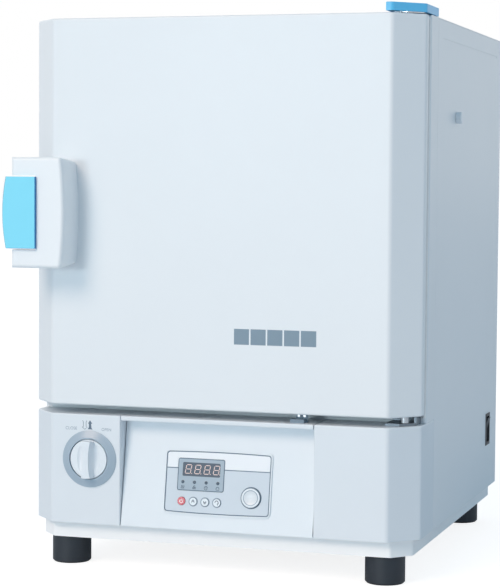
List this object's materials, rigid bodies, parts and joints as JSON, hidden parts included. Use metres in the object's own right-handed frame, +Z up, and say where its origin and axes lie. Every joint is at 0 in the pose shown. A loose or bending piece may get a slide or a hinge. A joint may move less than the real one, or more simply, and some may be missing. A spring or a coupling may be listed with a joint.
{
  "type": "laboratory drying oven",
  "caption": "Bench-top forced-air drying oven with a hinged insulated door, wire shelves, fan, ring heater, vent knob and a small display with keys.",
  "frame": {"origin": "middle of the footprint, on the floor under the feet", "axes": "+X to the right as seen from the front, +Y from the door to the back, +Z up"},
  "size_m": [0.5088, 0.5914, 0.682],
  "materials": {
    "white_enamel": "gloss",
    "white_plastic": "satin",
    "knob_plastic": "satin",
    "grey_plastic": "satin",
    "blue_plastic": "gloss",
    "panel_film": "satin",
    "display_tint": "gloss",
    "display_block": "matt",
    "circuit_board": "satin",
    "red_plastic": "gloss",
    "pale_key": "gloss",
    "black_plastic": "satin",
    "foot_rubber": "matt",
    "silicone": "matt",
    "zinc_steel": "satin",
    "stainless": "brushed",
    "shelf_chrome": "polished",
    "bright_steel": "polished",
    "mineral_wool": "matt",
    "aluminium": "satin",
    "heater_sheath": "matt",
    "motor_paint": "satin"
  },
  "bodies": {
    "cabinet": {"feet": "foot_rubber", "foot_bolts": "zinc_steel", "base_tray": "white_enamel", "bottom_pan": "zinc_steel", "left_fascia": "white_plastic", "right_fascia": "white_plastic", "console_insert": "white_plastic", "control_panel": "panel_film", "display_window": "display_tint", "display_module": "display_block", "control_board": "circuit_board", "knob_ring": "grey_plastic", "vent_duct": "zinc_steel", "deck_plate": "zinc_steel", "left_side_panel": "white_enamel", "right_side_panel": "white_enamel", "top_cover": "white_enamel", "rear_panel": "white_enamel", "rear_screws": "bright_steel", "front_frame": "white_enamel", "inner_chamber": "stainless", "chamber_insulation": "mineral_wool", "air_baffle": "stainless", "fan_motor": "motor_paint", "motor_bracket": "zinc_steel", "heater_element": "heater_sheath", "temperature_sensor": "stainless", "exhaust_pipe": "stainless", "shelf_supports": "stainless", "port_sleeve": "white_plastic", "mains_breaker": "black_plastic", "mains_inlet": "black_plastic", "solid_state_relay": "aluminium", "upper_hinge": "bright_steel", "lower_hinge": "white_enamel", "hinge_cap": "blue_plastic", "door_buffer": "grey_plastic"},
    "door": {"door_shell": "white_enamel", "door_liner": "stainless", "door_insulation": "mineral_wool", "door_gasket": "silicone", "door_bushes": "bright_steel", "handle_housing": "white_plastic", "lever_pin": "bright_steel"},
    "latch": {"latch_lever": "grey_plastic", "lever_cover": "blue_plastic", "latch_arm": "zinc_steel"},
    "vent_control": {"vent_knob": "knob_plastic", "vent_shutter": "zinc_steel"},
    "fan": {"fan_impeller": "stainless"},
    "shelf_low": {"lower_shelf": "shelf_chrome"},
    "shelf_high": {"upper_shelf": "shelf_chrome"},
    "cap": {"port_cap": "white_plastic"},
    "rocker": {"breaker_rocker": "black_plastic"},
    "power_key": {"key_power": "red_plastic"},
    "up_key": {"key_up": "pale_key"},
    "down_key": {"key_down": "pale_key"},
    "enter_key": {"key_enter": "pale_key"},
    "round_button": {"start_button": "pale_key"}
  },
  "joints": [
    {"name": "door_hinge", "type": "hinge", "parent": "cabinet", "child": "door", "pos_m": [0.2271, -0.21435, 0.2], "axis": [0, 0, 1], "range_deg": [0, 120]},
    {"name": "latch_pull", "type": "hinge", "parent": "door", "child": "latch", "pos_m": [-0.2029, -0.26035, 0.435], "axis": [0, 0, 1], "range_deg": [0, 8], "stiffness_Nm_per_rad": 1, "springref_deg": -5.73},
    {"name": "vent_turn", "type": "hinge", "parent": "cabinet", "child": "vent_control", "pos_m": [-0.1596, -0.24435, 0.1344], "axis": [0, 1, 0], "range_deg": [-45, 45]},
    {"name": "fan_spin", "type": "hinge", "parent": "cabinet", "child": "fan", "pos_m": [0.0021, 0.15965, 0.435], "axis": [0, 1, 0], "continuous": true},
    {"name": "lower_shelf_slide", "type": "slide", "parent": "cabinet", "child": "shelf_low", "axis": [0, -1, 0], "range_m": [0, 0.036]},
    {"name": "upper_shelf_slide", "type": "slide", "parent": "cabinet", "child": "shelf_high", "axis": [0, -1, 0], "range_m": [0, 0.036]},
    {"name": "port_cap_pull", "type": "slide", "parent": "cabinet", "child": "cap", "axis": [1, 0, 0], "range_m": [0, 0.03]},
    {"name": "breaker_switch", "type": "hinge", "parent": "cabinet", "child": "rocker", "pos_m": [0.2441, 0.20265, 0.1363], "axis": [0, -1, 0], "range_deg": [0, 14]},
    {"name": "power_key_press", "type": "slide", "parent": "cabinet", "child": "power_key", "axis": [0, 0.987, -0.1606], "range_m": [0, 0.0008], "stiffness_N_per_m": 400, "springref_m": -0.001},
    {"name": "up_key_press", "type": "slide", "parent": "cabinet", "child": "up_key", "axis": [0, 0.987, -0.1606], "range_m": [0, 0.0008], "stiffness_N_per_m": 400, "springref_m": -0.001},
    {"name": "down_key_press", "type": "slide", "parent": "cabinet", "child": "down_key", "axis": [0, 0.987, -0.1606], "range_m": [0, 0.0008], "stiffness_N_per_m": 400, "springref_m": -0.001},
    {"name": "enter_key_press", "type": "slide", "parent": "cabinet", "child": "enter_key", "axis": [0, 0.987, -0.1606], "range_m": [0, 0.0008], "stiffness_N_per_m": 400, "springref_m": -0.001},
    {"name": "round_button_press", "type": "slide", "parent": "cabinet", "child": "round_button", "axis": [0, 0.987, -0.1606], "range_m": [0, 0.0012], "stiffness_N_per_m": 500, "springref_m": -0.001}
  ]
}
